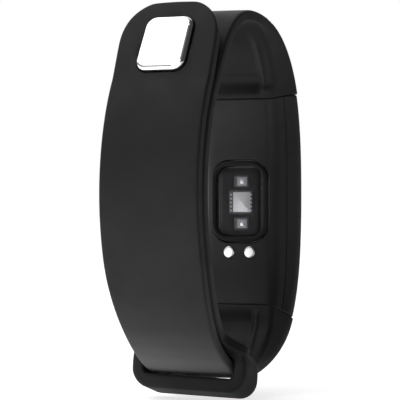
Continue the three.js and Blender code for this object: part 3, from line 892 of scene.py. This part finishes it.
def box_piece(name, low, high, edge):
    """A block between two corners in mm, the edges of its front rounded."""
    levels = [(low[1], edge), (low[1] + 0.3 * edge, 0.3 * edge), (low[1] + edge, 0), (high[1], 0)]
    block = plate(name, (high[0] - low[0]) / 2, (high[2] - low[2]) / 2, 2 * edge, levels, 4)
    centre = Vector(((low[0] + high[0]) / 2, 0, (low[2] + high[2]) / 2)) * MM
    return place(block, Matrix.Translation(centre))


def bezel(half_x, half_z, radius, profile, divisions=14):
    """A closed frame round a rounded rectangle; the profile holds (outwards, y) pairs."""
    path = outline(half_x, half_z, radius, divisions)
    rings = []
    count = len(path)
    for i, (x, z) in enumerate(path):
        before, after = path[i - 1], path[(i + 1) % count]
        tx, tz = after[0] - before[0], after[1] - before[1]
        size = math.hypot(tx, tz)
        nx, nz = tz / size, -tx / size
        rings.append([(x + nx * u, v, z + nz * u) for u, v in profile])
    return loft("bezel", rings, closed=True)


def chip(name, low, high, look, stands_for=()):
    return dress(box_piece(name, low, high, 0.05), look, "root", stands_for=stands_for)


def sensor_pieces():
    low, high = corners_mm("sensor_window")
    centre_z = (low[2] + high[2]) / 2
    half_x, half_z = high[0], (high[2] - low[2]) / 2
    face, back = low[1], high[1]
    pane = plate("window_pane", half_x - RIM, half_z - RIM, WINDOW_RADIUS - RIM,
                 [(back, 0), (face + 0.2, 0), (face + 0.1, 0.06), (face + 0.07, 0.2),
                  (face + 0.06, 1.2)], 14)
    place(pane, Matrix.Translation((0, 0, centre_z * MM)))
    dress(sharpen(pane, 40), WINDOW_CLEAR, "root", stands_for=["sensor_window"])

    profile, _ = rounded_loop([(-1.0, back, 0.02), (-1.0, face + 0.02, 0.22), (-0.62, face - 0.14, 0.4),
                               (-0.3, face - 0.14, 0.4), (0.0, face + 0.12, 0.25), (0.0, back, 0.02)],
                              [2, 2, 2, 2, 2, 2])
    rim = bezel(half_x, half_z, WINDOW_RADIUS, profile)
    dress(place(rim, Matrix.Translation((0, 0, centre_z * MM))), BEZEL, "root")

    for name in ("led_upper", "led_lower"):
        low, high = corners_mm(name)
        chip(f"{name}_body", low, high, PACKAGE, [name])
        x, z, front = (low[0] + high[0]) / 2, (low[2] + high[2]) / 2, low[1]
        chip(f"{name}_cup", (x - 0.75, front - 0.05, z - 0.8), (x + 1.2, front + 0.1, z + 0.8), LED_CUP)
        chip(f"{name}_die", (x - 0.16, front - 0.1, z - 0.42), (x + 0.66, front, z + 0.42), LED_DIE)
        chip(f"{name}_wire", (x + 0.68, front - 0.09, z + 0.05), (x + 1.05, front, z + 0.17), BOND_PAD)

    low, high = corners_mm("photodiode")
    front = low[1]
    chip("photodiode_body", low, high, PACKAGE, ["photodiode"])
    chip("photodiode_cell", (low[0] + 0.85, front - 0.06, low[2] + 0.2), (high[0] - 0.25, front + 0.1,
         high[2] - 0.15), "photodiode_die")
    for column, x in (("a", low[0] + 0.45), ("b", high[0] - 0.1)):
        for row in range(5):
            z = low[2] + 0.5 + row * 0.72
            chip(f"bond_pad_{column}{row}", (x - 0.15, front - 0.08, z - 0.17),
                 (x + 0.15, front + 0.1, z + 0.17), BOND_PAD)


def contact_pieces():
    for side in ("left", "right"):
        low, high = corners_mm(f"charge_contact_{side}")
        x, z = (low[0] + high[0]) / 2, (low[2] + high[2]) / 2
        face = low[1]
        pad = turned(f"contact_{side}", [(0, face), (0.7, face + 0.003), (0.92, face + 0.012),
                                         (1.0, face + 0.05), (1.05, face + 0.13), (1.05, high[1] - 0.35),
                                         (1.5, high[1] - 0.35), (1.5, high[1]), (0, high[1])], x, z)
        dress(sharpen(pad, 50), "contact_metal", "root", stands_for=[f"charge_contact_{side}"])


def clasp_metal():
    """The polished plate: a slightly domed face, a slim chamfer and a square back."""
    top = PLATE_TOP
    levels = [(-PLATE_SUNK, 0.15), (0.15 - PLATE_SUNK, 0.0), (top - 0.5, 0.0), (top - 0.45, 0.02),
              (top - 0.12, 0.3), (top - 0.07, 0.38), (top - 0.04, 0.8), (top - 0.01, 1.5), (top, 1.95)]
    face = plate("clasp_face", PLATE_X, PLATE_Z, PLATE_RADIUS, levels, 14)
    place(tapered(face), frame_on(clasp_offset, PLATE_ANGLE))
    return dress(sharpen(face, 28), "clasp_metal", "clasp_tail", stands_for=["clasp_plate"])


# ---------------------------------------------------------------- assembly of the looks


def mark_painted_highlight(piece):
    """Marks on a strap's points how much paler the painted highlight makes them, so that the paint bends
    with it.
    """
    marks = piece.data.attributes.new("paler", "FLOAT", "POINT")
    begin, full = PAINTED_HIGHLIGHT_RANGE
    for vertex, mark in zip(piece.data.vertices, marks.data):
        reach = Vector(PAINTED_HIGHLIGHT_ALONG).dot(vertex.co)
        mark.value = min(1.0, max(0.0, (reach - begin) / (full - begin)))
    return piece


# The strap's lower front carries a painted highlight, marked on its points.
strap = dress(mark_painted_highlight(long_strap()), "strap_rubber",
              stands_for=["lower_strap", "clasp_strap"])
tangent = frame_on(lambda a: 0.0, 245).to_3x3().col[2]
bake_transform(strap)

dress(inner_strap(), "loop_rubber", "root",
      stands_for=["upper_strap", "keeper_loop"])
dress(module_back(), "housing_plastic", "root", stands_for=["back_cover"])
dress(module_front(), "housing_plastic", "root", stands_for=["front_housing"])
dress(front_lens(), "lens_glass", "root", stands_for=["front_lens"])
sensor_pieces()
contact_pieces()
clasp_metal()

slots = {row["node"]: row["material_slot"] for row in frame["record"]["subparts"]}
for name, node in nodes.items():
    if node.hide_render:
        continue
    node.data.materials.clear()
    node.data.materials.append(LOOKS[slots[name]])
    edges = node.modifiers.new("soft edges", "BEVEL")
    edges.width = 0.06 * MM
    edges.segments = 2
    edges.limit_method = "ANGLE"
    edges.angle_limit = math.radians(40)

# ---------------------------------------------------------------- stage, light and camera

# Broad soft lights of the surroundings: direction, where each begins and is full, strength.
SKY_BASE = 0.07
SKY = (
    ((-0.50, 0.45, 0.74), 0.45, 0.95, 1.0),
    ((-0.55, 0.80, 0.00), 0.55, 0.95, 0.6),
    ((-0.55, -0.83, 0.1), 0.3, 0.95, 0.30),
)
# The floor's own light grows towards one side in front; SEEN is its strength to the eye.
FLOOR_TOWARDS, FLOOR_FRONT, FLOOR_BACK, FLOOR_SEEN = (-0.6, -0.8, 0.0), 1.15, 0.2, 0.8
FLOOR_SIZE, FLOOR_CLEAR = 3.0, 0.0002

# The camera, in degrees and mm: where it stands, how wide it sees at the object, where it aims.
CAMERA_AZIMUTH, CAMERA_DISTANCE, CAMERA_WIDTH, CAMERA_AIM = 24, 330, 69.324, 0.6066
SENSOR_WIDTH = 36


def range_node(tree, socket, low, high, dark, light):
    """Maps a value smoothly from one range to another."""
    node = tree.nodes.new("ShaderNodeMapRange")
    node.interpolation_type = "SMOOTHSTEP"
    for key, value in (("From Min", low), ("From Max", high), ("To Min", dark), ("To Max", light)):
        node.inputs[key].default_value = value
    tree.links.new(socket, node.inputs["Value"])
    return node.outputs["Result"]


def seen_white(tree, light):
    """Shows plain white to the eye in place of a light that only the object sees."""
    seen = tree.nodes.new("ShaderNodeBackground")
    seen.inputs["Color"].default_value = (1, 1, 1, 1)
    seen.inputs["Strength"].default_value = 1.0
    path = tree.nodes.new("ShaderNodeLightPath")
    mix = tree.nodes.new("ShaderNodeMixShader")
    tree.links.new(path.outputs["Is Camera Ray"], mix.inputs["Fac"])
    tree.links.new(light.outputs[0], mix.inputs[1])
    tree.links.new(seen.outputs[0], mix.inputs[2])
    return mix.outputs[0]


def stage_floor():
    """A plain white table, lit from within so that it stays pale, most in front of the object."""
    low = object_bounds()[0]
    size = FLOOR_SIZE
    mesh = bpy.data.meshes.new("floor")
    mesh.from_pydata([(-size, -size, 0), (size, -size, 0), (size, size, 0), (-size, size, 0)], [],
                     [(0, 1, 2, 3)])
    floor = bpy.data.objects.new("floor", mesh)
    floor.location.z = low.z - FLOOR_CLEAR
    bpy.context.scene.collection.objects.link(floor)
    made = Shader("pale_table").constants(Roughness=0.9)
    tone = made.ramp(made.noise(3, 2), (0.3, grey(0.84)), (0.7, grey(0.86)))
    made.to("Base Color", tone)
    made.to("Emission Color", tone)
    reach = made.tree.nodes.new("ShaderNodeVectorMath")
    reach.operation = "DOT_PRODUCT"
    made.tree.links.new(made.where, reach.inputs[0])
    reach.inputs[1].default_value = Vector(FLOOR_TOWARDS).normalized()
    front = range_node(made.tree, reach.outputs["Value"], -0.015, 0.045, FLOOR_BACK, FLOOR_FRONT)
    path = made.tree.nodes.new("ShaderNodeLightPath")
    strength = made.tree.nodes.new("ShaderNodeMix")
    made.tree.links.new(path.outputs["Is Camera Ray"], strength.inputs[0])
    made.tree.links.new(front, strength.inputs[2])
    strength.inputs[3].default_value = FLOOR_SEEN
    made.to("Emission Strength", strength.outputs[0])
    floor.data.materials.append(made.material)


def studio_world():
    """White to the eye; as light, bright from one side above and behind, and dim elsewhere."""
    world = bpy.data.worlds.new("studio")
    world.use_nodes = True
    bpy.context.scene.world = world
    tree = world.node_tree
    tree.nodes.clear()
    out = tree.nodes.new("ShaderNodeOutputWorld")
    where = tree.nodes.new("ShaderNodeTexCoord")
    total = None
    for direction, low, high, light in SKY:
        dot = tree.nodes.new("ShaderNodeVectorMath")
        dot.operation = "DOT_PRODUCT"
        tree.links.new(where.outputs["Generated"], dot.inputs[0])
        dot.inputs[1].default_value = Vector(direction).normalized()
        part = range_node(tree, dot.outputs["Value"], low, high, 0.0, light)
        if total is None:
            total = part
            continue
        add = tree.nodes.new("ShaderNodeMath")
        tree.links.new(total, add.inputs[0])
        tree.links.new(part, add.inputs[1])
        total = add.outputs[0]
    base = tree.nodes.new("ShaderNodeMath")
    tree.links.new(total, base.inputs[0])
    base.inputs[1].default_value = SKY_BASE
    light = tree.nodes.new("ShaderNodeBackground")
    tree.links.new(base.outputs[0], light.inputs["Strength"])
    tree.links.new(seen_white(tree, light), out.inputs["Surface"])


def softbox(name, direction, distance, size, power):
    """A soft square light that faces the object."""
    data = bpy.data.lights.new(name, "AREA")
    data.size = size
    data.energy = power
    lamp = bpy.data.objects.new(name, data)
    lamp.location = Vector(direction).normalized() * distance
    lamp.rotation_euler = (-Vector(direction)).to_track_quat("-Z", "Y").to_euler()
    bpy.context.scene.collection.objects.link(lamp)


def camera():
    """Looks at the clasp side, from the right, at the height of the band's middle."""
    azimuth = math.radians(CAMERA_AZIMUTH)
    data = bpy.data.cameras.new("camera")
    data.sensor_width = SENSOR_WIDTH
    data.lens = SENSOR_WIDTH * CAMERA_DISTANCE / CAMERA_WIDTH
    data.clip_start = 0.01
    data.clip_end = 20
    eye = bpy.data.objects.new("camera", data)
    back = Vector((math.sin(azimuth), -math.cos(azimuth), 0))
    right = Vector((math.cos(azimuth), math.sin(azimuth), 0))
    eye.location = (right * CAMERA_AIM + back * CAMERA_DISTANCE) * MM
    eye.rotation_mode = "QUATERNION"
    eye.rotation_quaternion = (-back).to_track_quat("-Z", "Y")
    bpy.context.scene.collection.objects.link(eye)
    bpy.context.scene.camera = eye


stage_floor()
studio_world()
# The second light is small, and stands where the charging pads and the dies reflect it forwards.
softbox("key_softbox", (-0.44, -0.42, 0.79), 0.45, 0.34, 0.5)
softbox("contact_light", (-0.44, -0.89, 0.0), 0.6, 0.12, 0.11)
camera()
bpy.context.scene.view_settings.view_transform = "Standard"
